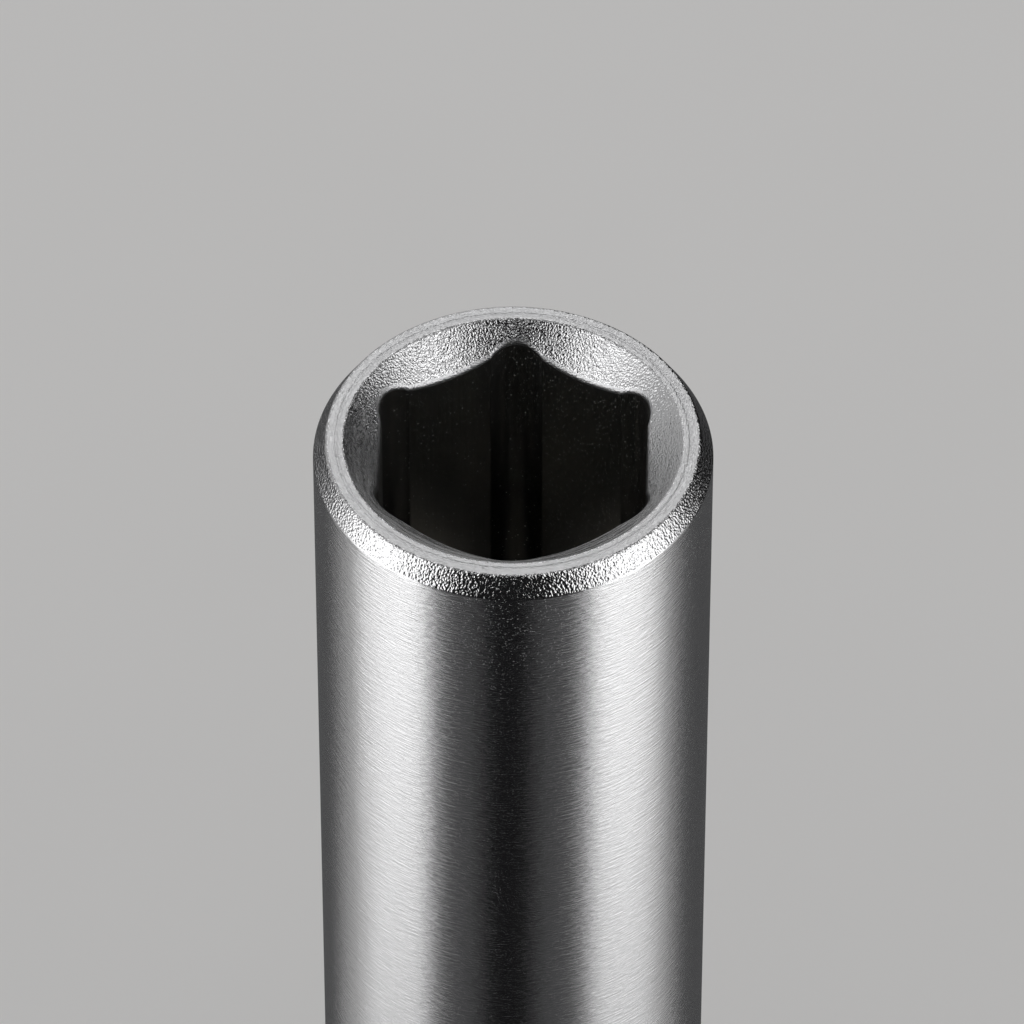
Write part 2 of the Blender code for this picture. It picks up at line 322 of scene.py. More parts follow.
def grid_faces(rows, columns, closed):
    """Quads between neighbouring rows, whose columns close on themselves."""
    row = np.arange(rows if closed else rows - 1)[:, None]
    column = np.arange(columns)[None, :]
    next_row = (row + 1) % rows
    next_column = (column + 1) % columns
    lower = [row * columns + column, row * columns + next_column]
    upper = [next_row * columns + next_column, next_row * columns + column]
    return np.stack(lower + upper, axis=-1).reshape(-1, 4)


def add_piece(name, points, materials, closed=False, finishes=(0,)):
    """A piece from rows of points: a closed ring of rows, or rows between two poles, where the end rows meet.

    Its attribute "along" is the distance along the profile from the first row, which the materials use to
    draw lines round the axis.
    """
    if closed:
        vertices = points.reshape(-1, 3)
        faces = grid_faces(len(points), points.shape[1], True).tolist()
        path = points
    else:
        columns = points.shape[1]
        inner = points[1:-1].reshape(-1, 3)
        vertices = np.concatenate([inner, points[:1, 0], points[-1:, 0]])
        column = np.arange(columns)
        next_column = (column + 1) % columns
        last = len(inner) - columns
        first_fan = np.stack([np.full(columns, len(inner)), next_column, column], axis=-1)
        last_fan = np.stack([np.full(columns, len(inner) + 1), last + column, last + next_column], axis=-1)
        faces = grid_faces(len(points) - 2, columns, False).tolist() + first_fan.tolist() + last_fan.tolist()
        path = points[1:-1]
    mesh = bpy.data.meshes.new(name)
    mesh.from_pydata(vertices.tolist(), [], faces)
    mesh.shade_smooth()
    for material in materials:
        mesh.materials.append(material)
    if len(finishes) > 1:
        mesh.polygons.foreach_set("material_index", np.repeat(finishes, points.shape[1]))
    advance = np.linalg.norm(np.diff(path, axis=0), axis=2).mean(axis=1)
    along = np.zeros(len(vertices), dtype=np.float32)
    along[: path.shape[0] * path.shape[1]] = np.repeat(np.append(0.0, np.cumsum(advance)), path.shape[1])
    if not closed:
        along[-1] = along[-3]
    mesh.attributes.new("along", "FLOAT", "POINT").data.foreach_set("value", along)
    mesh.update()
    piece = bpy.data.objects.new(name, mesh)
    bpy.context.scene.collection.objects.link(piece)
    return piece


def body_corners(sizes, angle):
    """Corners of the body's half section, from the web's underside over the barrel and back down the bore.

    The countersink and the run-out are cones, so their edges with the hexagon rise and fall with its radius.
    """
    top = body_high.z
    flats = sizes.across_flats / 2
    hexagon = cornered_radius(angle, 6, sizes.across_flats, sizes.relief_radius, sizes.relief_bulge)
    square = cornered_radius(angle, 4, sizes.drive_square, sizes.drive_corner)
    square_mouth = cornered_radius(
        angle, 4, sizes.drive_square + 2 * sizes.drive_lead, sizes.drive_corner + sizes.drive_lead
    )
    mouth = sizes.across_flats / math.sqrt(3) + sizes.mouth_lead
    rim = mouth + sizes.rim_width
    nose = rim + sizes.chamfer_width
    line = mouth + sizes.rim_line
    foot = body_high.x
    bore = flats - sizes.bore_step
    hexagon_floor = top - sizes.hexagon_depth
    countersink_end = top - sizes.mouth_depth * (mouth - hexagon) / (mouth - flats)
    ledge = hexagon - bore
    runout_end = hexagon_floor - sizes.runout_height * ledge / (ledge + sizes.runout_inset)
    detent = np.maximum(square, sizes.drive_square / 2 + sizes.detent_depth)
    detent_half = sizes.detent_floor / 2
    detent_reach = detent_half + sizes.detent_depth
    groove = sizes.ring_play - ring_low.x
    groove_top = ring_high.z + sizes.ring_play
    groove_bottom = ring_low.z - sizes.ring_play
    fine = sizes.inner_round
    soft = sizes.edge_round
    return [
        Corner(sizes.core_radius, sizes.drive_depth, fine, 2, BROACHED),
        Corner(square, sizes.drive_depth, fine, 2, BROACHED),
        Corner(square, sizes.detent_height + detent_reach, fine, 2, BROACHED),
        Corner(detent, sizes.detent_height + detent_half, fine, 2, BROACHED),
        Corner(detent, sizes.detent_height - detent_half, fine, 2, BROACHED),
        Corner(square, sizes.detent_height - detent_reach, fine, 2, BROACHED),
        Corner(square, sizes.drive_lead, soft, 2, TURNED),
        Corner(square_mouth, 0.0, soft, 4, TURNED),
        Corner(foot - sizes.drive_chamfer, 0.0, soft, 3, BLASTED),
        Corner(foot, sizes.drive_chamfer, soft, 12, BRUSHED),
        Corner(nose, top - sizes.chamfer_height, soft, 4, BLASTED),
        Corner(rim, top, 2 * soft, 2, TURNED),
        Corner(line + sizes.rim_line_width / 2, top, fine, 2, TURNED),
        Corner(line, top - sizes.rim_line_depth, fine, 2, TURNED),
        Corner(line - sizes.rim_line_width / 2, top, fine, 2, TURNED),
        Corner(mouth, top, 2 * soft, 5, SUNK, SUNK),
        Corner(hexagon, countersink_end, sizes.mouth_round, 8, BROACHED, TURNED),
        Corner(hexagon, hexagon_floor, fine, 3, BROACHED),
        Corner(bore, runout_end, fine, 2, BROACHED),
        Corner(bore, groove_top, fine, 2, BROACHED),
        Corner(groove, groove_top, fine, 2, BROACHED),
        Corner(groove, groove_bottom, fine, 2, BROACHED),
        Corner(bore, groove_bottom, fine, 4, BROACHED),
        Corner(bore, bore_floor, fine, 2, BROACHED),
        Corner(sizes.core_radius, bore_floor, fine, 2, BROACHED),
    ]


def cup_corners(sizes):
    """Corners of the cup's half section, from the pocket's floor over the neck and flange to the spigot."""
    flange_bottom = cup_low.z + sizes.spigot_height
    flange_top = flange_bottom + sizes.flange_height
    flange = cup_high.x
    neck = -ring_low.x - (ring_high.z - ring_low.z) - sizes.neck_clearance
    pocket = neck - sizes.cup_wall
    spigot = -spring_low.x - sizes.spring_wire - sizes.spring_play
    chamfer = sizes.cup_chamfer
    fine = sizes.cup_round
    return [
        Corner(0.0, flange_top, 0.0, 2, PLATED),
        Corner(pocket, flange_top, fine, 2, PLATED),
        Corner(pocket, cup_high.z, fine, 2, PLATED),
        Corner(neck - chamfer, cup_high.z, fine, 2, PLATED),
        Corner(neck, cup_high.z - chamfer, fine, 2, PLATED),
        Corner(neck, flange_top, fine, 2, PLATED),
        Corner(flange - chamfer, flange_top, fine, 2, PLATED),
        Corner(flange, flange_top - chamfer, fine, 3, PLATED),
        Corner(flange, flange_bottom + chamfer, fine, 2, PLATED),
        Corner(flange - chamfer, flange_bottom, fine, 2, PLATED),
        Corner(spigot, flange_bottom, fine, 2, PLATED),
        Corner(spigot, cup_low.z + chamfer, fine, 2, PLATED),
        Corner(spigot - chamfer, cup_low.z, fine, 2, PLATED),
        Corner(0.0, cup_low.z, 0.0, 2, PLATED),
    ]


def magnet_corners(sizes):
    """Corners of the magnet's half section, from the middle of its face to the middle of its back."""
    radius = magnet_high.x
    chamfer = sizes.magnet_chamfer
    soft = sizes.magnet_round
    return [
        Corner(0.0, magnet_high.z, 0.0, 5, PLATED),
        Corner(radius - chamfer, magnet_high.z, soft, 2, PLATED),
        Corner(radius, magnet_high.z - chamfer, soft, 3, PLATED),
        Corner(radius, magnet_low.z + chamfer, soft, 2, PLATED),
        Corner(radius - chamfer, magnet_low.z, soft, 3, PLATED),
        Corner(0.0, magnet_low.z, 0.0, 2, PLATED),
    ]


# Materials

BLAST_START = 6 * MM  # below the rim, where the barrel's pits start to deepen
BLAST_FULL = 1 * MM  # below the rim, where they are full
PAINTED_LIGHT_START = 3.5 * MM  # below the rim, where the painted light on the deeper flats and the painted shade in the reliefs begin
PAINTED_LIGHT_FULL = 7 * MM  # below the rim, where they are full
FLAT_END = 4.25 * MM  # radius at which a flat of the hexagon ends
RELIEF_START = 4.29 * MM  # radius at which the painted shade in the relief is full


def add_node(tree, kind, inputs=(), **settings):
    """Adds a node with its settings. An input's value is a number, a vector, or the output that feeds it."""
    node = tree.nodes.new(kind)
    for name, value in settings.items():
        setattr(node, name, value)
    for socket, value in dict(inputs).items():
        if isinstance(value, bpy.types.NodeSocket):
            tree.links.new(value, node.inputs[socket])
        else:
            node.inputs[socket].default_value = value
    return node


def new_metal(name, tint, roughness):
    """A metal's material, its node tree and its shader."""
    material = bpy.data.materials.new(name)
    material.use_nodes = True
    tree = material.node_tree
    shader = tree.nodes["Principled BSDF"]
    shader.inputs["Base Color"].default_value = (*tint, 1.0)
    shader.inputs["Metallic"].default_value = 1.0
    shader.inputs["Roughness"].default_value = roughness
    return material, tree, shader


def grains(tree, size, detail=2.0):
    """Even noise whose grains are about this size."""
    place = add_node(tree, "ShaderNodeTexCoord").outputs["Object"]
    noise = {"Vector": place, "Scale": 1 / size, "Detail": detail}
    return add_node(tree, "ShaderNodeTexNoise", noise).outputs[0]


def spots(tree, spacing, size):
    """Scattered round spots of this diameter: 1 in the middle of a spot and 0 outside it.

    Each cell of this spacing has one, which shows where the surface happens to cut it.
    """
    place = add_node(tree, "ShaderNodeTexCoord").outputs["Object"]
    cells = {"Vector": place, "Scale": 1 / spacing}
    distance = add_node(tree, "ShaderNodeTexVoronoi", cells).outputs["Distance"]
    edge = size / 2 / spacing
    bowl = {"Value": distance, "From Min": 0.0, "From Max": edge, "To Min": 1.0, "To Max": 0.0}
    return add_node(tree, "ShaderNodeMapRange", bowl, interpolation_type="SMOOTHSTEP").outputs[0]


def drawn_marks(tree, around, across, detail=3.0):
    """Noise drawn out round the axis, in marks about this long and this wide."""
    place = add_node(tree, "ShaderNodeTexCoord").outputs["Object"]
    level = add_node(tree, "ShaderNodeAttribute", attribute_name="along").outputs["Fac"]
    split = add_node(tree, "ShaderNodeSeparateXYZ", {0: place}).outputs
    turned = add_node(tree, "ShaderNodeCombineXYZ", {0: split[0], 1: split[1], 2: level}).outputs[0]
    scale = (1 / around, 1 / around, 1 / across)
    drawn = add_node(tree, "ShaderNodeMapping", {"Vector": turned, "Scale": scale}).outputs[0]
    return add_node(tree, "ShaderNodeTexNoise", {"Vector": drawn, "Scale": 1.0, "Detail": detail}).outputs[0]


def brushed_around(tree, shader, amount):
    """Turns the shader's grain round the axis, so that it draws each light out along the axis."""
    tangent = add_node(tree, "ShaderNodeTangent", direction_type="RADIAL", axis="Z").outputs[0]
    tree.links.new(tangent, shader.inputs["Tangent"])
    shader.inputs["Anisotropic"].default_value = amount
    shader.inputs["Anisotropic Rotation"].default_value = 0.25


def brushed_chrome(colours):
    """Satin chrome on a barrel brushed round its axis.

    Long and short strokes draw each light into a tall band with streaked edges. Pits of the blasting under
    the chrome sparkle in the dark, most of all by the nose.
    """
    material, tree, shader = new_metal("brushed_satin_chrome", colours.chrome, roughness=0.24)
    brushed_around(tree, shader, amount=0.6)
    long_strokes = drawn_marks(tree, around=1.2 * MM, across=0.045 * MM)
    streaks = {"Height": long_strokes, "Strength": 1.0, "Distance": 0.014 * MM}
    streaked = add_node(tree, "ShaderNodeBump", streaks).outputs[0]
    short_strokes = drawn_marks(tree, around=0.4 * MM, across=0.06 * MM, detail=1.0)
    dashes = {"Height": short_strokes, "Strength": 1.0, "Distance": 0.012 * MM, "Normal": streaked}
    dashed = add_node(tree, "ShaderNodeBump", dashes).outputs[0]
    place = add_node(tree, "ShaderNodeTexCoord").outputs["Object"]
    height = add_node(tree, "ShaderNodeSeparateXYZ", {0: place}).outputs[2]
    nearness = {
        "Value": height,
        "From Min": body_high.z - BLAST_START,
        "From Max": body_high.z - BLAST_FULL,
        "To Min": 0.5,
        "To Max": 1.0,
    }
    near_nose = add_node(tree, "ShaderNodeMapRange", nearness).outputs[0]
    scattered = spots(tree, spacing=0.08 * MM, size=0.034 * MM)
    depth = add_node(tree, "ShaderNodeMath", {0: scattered, 1: near_nose}, operation="MULTIPLY").outputs[0]
    pits = {"Height": depth, "Strength": 1.0, "Distance": 0.01 * MM, "Normal": dashed}
    pitted = add_node(tree, "ShaderNodeBump", pits, invert=True).outputs[0]
    tree.links.new(pitted, shader.inputs["Normal"])
    return material


def blasted_chrome(colours):
    """Chrome over a bead-blasted bevel: round dents of about 0.08 mm that sparkle black and white."""
    material, tree, shader = new_metal("blasted_satin_chrome", colours.chrome, roughness=0.17)
    place = add_node(tree, "ShaderNodeTexCoord").outputs["Object"]
    cells = {"Vector": place, "Scale": 1 / (0.085 * MM), "Smoothness": 0.3}
    dents = add_node(tree, "ShaderNodeTexVoronoi", cells, feature="SMOOTH_F1").outputs["Distance"]
    blows = {"Height": dents, "Strength": 1.0, "Distance": 0.021 * MM}
    beaten = add_node(tree, "ShaderNodeBump", blows).outputs[0]
    grit = grains(tree, size=0.05 * MM, detail=1.0)
    grain = {"Height": grit, "Strength": 1.0, "Distance": 0.016 * MM, "Normal": beaten}
    grained = add_node(tree, "ShaderNodeBump", grain).outputs[0]
    tree.links.new(grained, shader.inputs["Normal"])
    return material


def sunk_chrome(colours):
    """Chrome over a turned and blasted countersink.

    Crisp grains of about 0.06 mm are bright where they face a light. Dust in the turned rings shows as pale
    streaks where the slope is seen edge on.
    """
    material, tree, shader = new_metal("sunk_satin_chrome", colours.chrome, roughness=0.16)
    brushed_around(tree, shader, amount=0.6)
    lines = drawn_marks(tree, around=0.4 * MM, across=0.05 * MM, detail=1.0)
    dullness = {"Value": lines, "From Min": 0.48, "From Max": 0.7, "To Min": 0.13, "To Max": 0.32}
    tree.links.new(add_node(tree, "ShaderNodeMapRange", dullness).outputs[0], shader.inputs["Roughness"])
    ridges = {"Height": lines, "Strength": 1.0, "Distance": 0.005 * MM}
    ridged = add_node(tree, "ShaderNodeBump", ridges).outputs[0]
    grit = grains(tree, size=0.06 * MM, detail=1.0)
    grain = {"Height": grit, "Strength": 1.0, "Distance": 0.028 * MM, "Normal": ridged}
    grained = add_node(tree, "ShaderNodeBump", grain).outputs[0]
    tree.links.new(grained, shader.inputs["Normal"])
    rings = drawn_marks(tree, around=4 * MM, across=0.12 * MM)
    dust = {"Value": rings, "From Min": 0.42, "From Max": 0.58, "To Min": 0.25, "To Max": 1.0}
    tree.links.new(add_node(tree, "ShaderNodeMapRange", dust).outputs[0], shader.inputs["Sheen Weight"])
    shader.inputs["Sheen Roughness"].default_value = 0.4
    return material


def turned_chrome(colours):
    """Chrome over a faced and blasted rim: a fine sandy grain, which keeps it an even pale grey."""
    material, tree, shader = new_metal("faced_satin_chrome", colours.chrome, roughness=0.28)
    brushed_around(tree, shader, amount=0.3)
    grain = {"Height": grains(tree, size=0.055 * MM), "Strength": 1.0, "Distance": 0.022 * MM}
    tree.links.new(add_node(tree, "ShaderNodeBump", grain).outputs[0], shader.inputs["Normal"])
    return material


def broached_steel(colours):
    """Oiled steel cut by a broach: faint lines along the cut, and small pits.

    Further in, the flats are painted lighter, a painted reflection, and the reliefs in the corners painted
    dark as shade.
    Pale specks of dust lie in the oil, drawn larger than real dust so that they show.
    """
    material, tree, shader = new_metal("broached_oiled_steel", colours.broached, roughness=0.3)
    place = add_node(tree, "ShaderNodeTexCoord").outputs["Object"]
    flattened = {0: place, 1: (1.0, 1.0, 0.0)}
    level = add_node(tree, "ShaderNodeVectorMath", flattened, operation="MULTIPLY").outputs[0]
    radius = add_node(tree, "ShaderNodeVectorMath", {0: level}, operation="LENGTH").outputs["Value"]
    height = add_node(tree, "ShaderNodeSeparateXYZ", {0: place}).outputs[2]
    # depth: 0 near the rim and 1 further in, for the painted light on the flats and the painted shade in the
    # reliefs
    inwards = {"Value": height, "From Min": body_high.z - PAINTED_LIGHT_START, "From Max": body_high.z - PAINTED_LIGHT_FULL}
    depth = add_node(tree, "ShaderNodeMapRange", inwards).outputs[0]
    # painted shade: past the flats the reliefs turn dark, as far as the depth allows
    outwards = {"Value": radius, "From Min": FLAT_END, "From Max": RELIEF_START, "To Max": depth}
    corner = add_node(tree, "ShaderNodeMapRange", outwards).outputs[0]
    # painted light: the flats turn lighter further in
    flat_shades = {"Factor": depth, "A": (*colours.broached, 1.0), "B": (*colours.painted_light_flats, 1.0)}
    flats = add_node(tree, "ShaderNodeMix", flat_shades, data_type="RGBA").outputs["Result"]
    steel_shades = {"Factor": corner, "A": flats, "B": (*colours.painted_shade_reliefs, 1.0)}
    steel = add_node(tree, "ShaderNodeMix", steel_shades, data_type="RGBA").outputs["Result"]
    specks = spots(tree, spacing=0.22 * MM, size=0.07 * MM)
    dusty_shades = {"Factor": specks, "A": steel, "B": (*colours.dust, 1.0)}
    dusty = add_node(tree, "ShaderNodeMix", dusty_shades, data_type="RGBA").outputs["Result"]
    tree.links.new(dusty, shader.inputs["Base Color"])
    clean = add_node(tree, "ShaderNodeMath", {0: 1.0, 1: specks}, operation="SUBTRACT").outputs[0]
    tree.links.new(clean, shader.inputs["Metallic"])
    line_width = 0.12 * MM
    line_length = 6 * MM
    scale = (1 / line_width, 1 / line_width, 1 / line_length)
    drawn = add_node(tree, "ShaderNodeMapping", {"Vector": place, "Scale": scale}).outputs[0]
    lines = add_node(tree, "ShaderNodeTexNoise", {"Vector": drawn, "Scale": 1.0, "Detail": 2.0}).outputs[0]
    cuts = {"Height": lines, "Strength": 1.0, "Distance": 0.003 * MM}
    cut = add_node(tree, "ShaderNodeBump", cuts).outputs[0]
    scattered = spots(tree, spacing=0.1 * MM, size=0.036 * MM)
    pits = {"Height": scattered, "Strength": 1.0, "Distance": 0.024 * MM, "Normal": cut}
    pitted = add_node(tree, "ShaderNodeBump", pits, invert=True).outputs[0]
    tree.links.new(pitted, shader.inputs["Normal"])
    return material


def blackened_wire(colours):
    """Blackened spring wire: dark and satin, with the fine grain of the oxide."""
    material, tree, shader = new_metal("blackened_spring_wire", colours.blackened, roughness=0.42)
    grain = {"Height": grains(tree, size=0.1 * MM), "Strength": 1.0, "Distance": 0.008 * MM}
    tree.links.new(add_node(tree, "ShaderNodeBump", grain).outputs[0], shader.inputs["Normal"])
    return material


def zinc_plate(colours):
    """Bright zinc on a turned cup: pale, faintly blue, with turning rings under the plating."""
    material, tree, shader = new_metal("bright_zinc_on_steel", colours.zinc, roughness=0.38)
    brushed_around(tree, shader, amount=0.5)
    rings = drawn_marks(tree, around=3 * MM, across=0.08 * MM)
    ridges = {"Height": rings, "Strength": 1.0, "Distance": 0.01 * MM}
    tree.links.new(add_node(tree, "ShaderNodeBump", ridges).outputs[0], shader.inputs["Normal"])
    return material


def nickel_plate(colours):
    """Nickel on a sintered magnet: warm and bright, with the sinter's faint orange peel."""
    material, tree, shader = new_metal("nickel_on_sintered_magnet", colours.nickel, roughness=0.22)
    peel = {"Height": grains(tree, size=0.3 * MM), "Strength": 1.0, "Distance": 0.004 * MM}
    tree.links.new(add_node(tree, "ShaderNodeBump", peel).outputs[0], shader.inputs["Normal"])
    return material


def drawn_wire(colours):
    """Bright drawn spring wire: pale and shiny, with a little grain."""
    material, tree, shader = new_metal("bright_drawn_wire", colours.wire, roughness=0.28)
    grain = {"Height": grains(tree, size=0.08 * MM), "Strength": 1.0, "Distance": 0.005 * MM}
    tree.links.new(add_node(tree, "ShaderNodeBump", grain).outputs[0], shader.inputs["Normal"])
    return material


def pale_floor(colours):
    """Matt painted board: an even pale grey with a faint mottle of about 20 mm."""
    material = bpy.data.materials.new("matt_painted_board")
    material.use_nodes = True
    tree = material.node_tree
    shader = tree.nodes["Principled BSDF"]
    darker = [0.96 * c for c in colours.floor]
    mottle = {"Factor": grains(tree, size=20 * MM), "A": (*darker, 1.0), "B": (*colours.floor, 1.0)}
    paint = add_node(tree, "ShaderNodeMix", mottle, data_type="RGBA").outputs["Result"]
    tree.links.new(paint, shader.inputs["Base Color"])
    shader.inputs["Roughness"].default_value = 0.8
    shader.inputs["Specular IOR Level"].default_value = 0.0
    return material


def card_finish(name, code, glow=0.0):
    """Finish of a card for the metal to mirror: dark flock, or a diffuser that glows."""
    material = bpy.data.materials.new(name)
    material.use_nodes = True
    shader = material.node_tree.nodes["Principled BSDF"]
    shader.inputs["Base Color"].default_value = (*linear(code), 1.0)
    shader.inputs["Emission Color"].default_value = (*linear("#FFFFFF"), 1.0)
    shader.inputs["Emission Strength"].default_value = glow
    shader.inputs["Roughness"].default_value = 1.0
    shader.inputs["Specular IOR Level"].default_value = 0.0
    return material


# Pieces

class BodyOperator(bpy.types.Operator):
    """Adds the socket's body: barrel, nose, relieved hexagon, bore and square drive in one closed surface"""

    bl_idname = "deep_socket.body"
    bl_label = "Socket Body"

    def execute(self, context):
        sizes = context.scene.socket_sizes
        colours = context.scene.socket_colours
        angle = body_angles(sizes)
        rows, finishes = rounded_rows(body_corners(sizes, angle), len(angle), closed=True)
        finish_makers = (brushed_chrome, blasted_chrome, sunk_chrome, turned_chrome, broached_steel)
        materials = [make(colours) for make in finish_makers]
        piece = add_piece("chrome_body", turned_points(rows, angle), materials, True, finishes)
        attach(piece, "socket")
        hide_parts("socket_body")
        return {"FINISHED"}


class RingOperator(bpy.types.Operator):
    """Adds the open ring of round wire in the groove under the hexagon"""

    bl_idname = "deep_socket.ring"
    bl_label = "Retaining Ring"

    def execute(self, context):
        wire_radius = (ring_high.z - ring_low.z) / 2
        radius = -ring_low.x - wire_radius
        first = context.scene.insert_sizes.ring_opening / 2 + wire_radius / radius
        angle = np.linspace(first, math.tau - first, RING_STEPS)
        height = np.full(RING_STEPS, (ring_low.z + ring_high.z) / 2)
        points = coil_points(radius, angle, height, wire_radius)
        piece = add_piece("wire_ring", points, [blackened_wire(context.scene.socket_colours)])
        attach(piece, "socket")
        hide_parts("retaining_ring")
        return {"FINISHED"}


class CupOperator(bpy.types.Operator):
    """Adds the turned cup that carries the magnet"""

    bl_idname = "deep_socket.cup"
    bl_label = "Magnet Cup"

    def execute(self, context):
        angle = np.linspace(0.0, math.tau, ROUND_STEPS, endpoint=False)
        rows, _ = rounded_rows(cup_corners(context.scene.insert_sizes), ROUND_STEPS, closed=False)
        points = turned_points(rows, angle)[::-1]
        piece = add_piece("turned_cup", points, [zinc_plate(context.scene.socket_colours)])
        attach(piece, "magnet_plunger")
        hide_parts("magnet_cup")
        return {"FINISHED"}


class MagnetOperator(bpy.types.Operator):
    """Adds the magnet disc in the cup"""

    bl_idname = "deep_socket.magnet"
    bl_label = "Holding Magnet"

    def execute(self, context):
        angle = np.linspace(0.0, math.tau, ROUND_STEPS, endpoint=False)
        rows, _ = rounded_rows(magnet_corners(context.scene.insert_sizes), ROUND_STEPS, closed=False)
        points = turned_points(rows, angle)[::-1]
        piece = add_piece("magnet_disc", points, [nickel_plate(context.scene.socket_colours)])
        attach(piece, "magnet_plunger")
        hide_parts("holding_magnet")
        return {"FINISHED"}


class SpringOperator(bpy.types.Operator):
    """Adds the compression spring under the cup, with one closed turn at each end"""

    bl_idname = "deep_socket.spring"
    bl_label = "Return Spring"

    def execute(self, context):
        sizes = context.scene.insert_sizes
        wire_radius = sizes.spring_wire / 2
        radius = -spring_low.x - wire_radius
        first = spring_low.z + wire_radius
        last = spring_high.z - wire_radius
        closed_pitch = sizes.spring_wire + sizes.closed_gap
        open_pitch = (last - first - 2 * closed_pitch) / (sizes.spring_turns - 2)
        end = wire_radius / radius / math.tau
        turn = np.linspace(end, sizes.spring_turns - end, sizes.spring_turns * SPRING_TURN_STEPS + 1)
        open_turns = np.clip(turn - 1, 0, sizes.spring_turns - 2)
        height = first + (turn - open_turns) * closed_pitch + open_turns * open_pitch
        points = coil_points(radius, turn * math.tau, height, wire_radius)
        piece = add_piece("coiled_wire", points, [drawn_wire(context.scene.socket_colours)])
        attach(piece, "socket")
        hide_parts("return_spring")
        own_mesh(piece)
        return {"FINISHED"}


# Studio

IMAGE_WIDTH = 1024
FOCAL_PIXELS = 9415
RIM_CENTRE_PIXEL = (513.2, 439.3)
SENSOR = 36.0  # millimetres
CAMERA_DISTANCE = 283.8 * MM  # to the middle of the rim
CAMERA_AZIMUTH = math.radians(1.35)
CAMERA_ELEVATION = math.radians(45.9)
CAMERA_CLIP = 10 * MM
FLOOR_SIDE = 4.0
SIDE_SOFTBOXES = (("left", -64.5, 21.5), ("right", 62.5, 20))  # azimuth and half width in degrees
SIDE_DISTANCE = 50 * MM
SIDE_MIDDLE = 66 * MM
SIDE_HEIGHT = 130 * MM
SIDE_BRIGHTNESS = 1.55
BACK_TARGET = 45 * MM
BACK_DISTANCE = 260 * MM
BACK_ELEVATION = math.radians(46)
BACK_WIDTH = 130 * MM
BACK_HEIGHT = 110 * MM
BACK_BRIGHTNESS = 1.22
WORLD_BRIGHTNESS = 0.5
CARD_STEPS = 32
CARD_RADIUS = 115 * MM
CARD_LIFT = 0.5 * MM  # above the floor
FLOOR_CARD_INNER = 8 * MM
LIT_CARD_INNER = 25 * MM
LIT_CARD_MARGIN = 1  # degrees inside the softbox, at each end
LIT_CARD_BRIGHTNESS = 0.95
TOP_CARD_INNER = 45 * MM
TOP_CARD_RADIUS = 120 * MM
TOP_CARD_HEIGHT = 300 * MM


def direction(azimuth, elevation=0.0):
    """From the socket's axis towards this azimuth, which is 0 at the camera's side and grows to its right."""
    level = math.cos(elevation)
    return Vector((math.sin(azimuth) * level, -math.cos(azimuth) * level, math.sin(elevation)))


def add_camera():
    """The camera that sees the rim where the photograph does."""
    rim = Vector((0.0, 0.0, body_high.z))
    back = direction(CAMERA_AZIMUTH, CAMERA_ELEVATION)
    right = direction(CAMERA_AZIMUTH + math.pi / 2)
    up = back.cross(right)
    across = (IMAGE_WIDTH / 2 - RIM_CENTRE_PIXEL[0]) / FOCAL_PIXELS
    down = (IMAGE_WIDTH / 2 - RIM_CENTRE_PIXEL[1]) / FOCAL_PIXELS
    target = rim + CAMERA_DISTANCE * (across * right - down * up)
    lens = bpy.data.cameras.new("camera")
    lens.sensor_width = SENSOR
    lens.lens = SENSOR * FOCAL_PIXELS / IMAGE_WIDTH
    lens.clip_start = CAMERA_CLIP
    camera = bpy.data.objects.new("camera", lens)
    camera.location = rim + CAMERA_DISTANCE * back
    camera.rotation_euler = (target - camera.location).to_track_quat("-Z", "Y").to_euler()
    bpy.context.scene.collection.objects.link(camera)
    bpy.context.scene.camera = camera


def add_softbox(name, place, target, width, height, brightness):
    """A rectangular lamp that faces the target, whose surface has this brightness."""
    lamp = bpy.data.lights.new(name, "AREA")
    lamp.shape = "RECTANGLE"
    lamp.size = width
    lamp.size_y = height
    lamp.energy = brightness * math.pi * width * height
    softbox = bpy.data.objects.new(name, lamp)
    softbox.location = place
    softbox.rotation_euler = (target - place).to_track_quat("-Z", "Y").to_euler()
    softbox.visible_camera = False
    bpy.context.scene.collection.objects.link(softbox)
    return softbox


def add_sheet(name, points, material):
    """An open sheet over a grid of points, which isn't part of the object."""
    rows, columns = points.shape[:2]
    faces = grid_faces(rows, columns, False).reshape(rows - 1, columns, 4)[:, :-1].reshape(-1, 4)
    mesh = bpy.data.meshes.new(name)
    mesh.from_pydata(points.reshape(-1, 3).tolist(), [], faces.tolist())
    mesh.materials.append(material)
    sheet = bpy.data.objects.new(name, mesh)
    bpy.context.scene.collection.objects.link(sheet)
    return sheet


def add_floor(colours):
    """The pale floor that the socket stands on."""
    edge = np.linspace(-FLOOR_SIDE / 2, FLOOR_SIDE / 2, 2)
    x, y = np.meshgrid(edge, edge)
    add_sheet("floor", np.stack([x, y, np.zeros_like(x)], axis=-1), pale_floor(colours))


def add_card(name, finish, first, last, radii, heights):
    """A card round the socket between two azimuths in degrees, from the first radius and height to the last.

    Only reflections see it: the floor and the camera don't.
    """
    azimuth = np.linspace(math.radians(first), math.radians(last), CARD_STEPS)
    radius = np.array(radii)[:, None]
    height = np.broadcast_to(np.array(heights)[:, None], (len(heights), CARD_STEPS))
    points = np.stack([radius * np.sin(azimuth), -radius * np.cos(azimuth), height], axis=-1)
    sheet = add_sheet(name, points, finish)
    sheet.visible_camera = False
    sheet.visible_diffuse = False
    sheet.visible_shadow = False


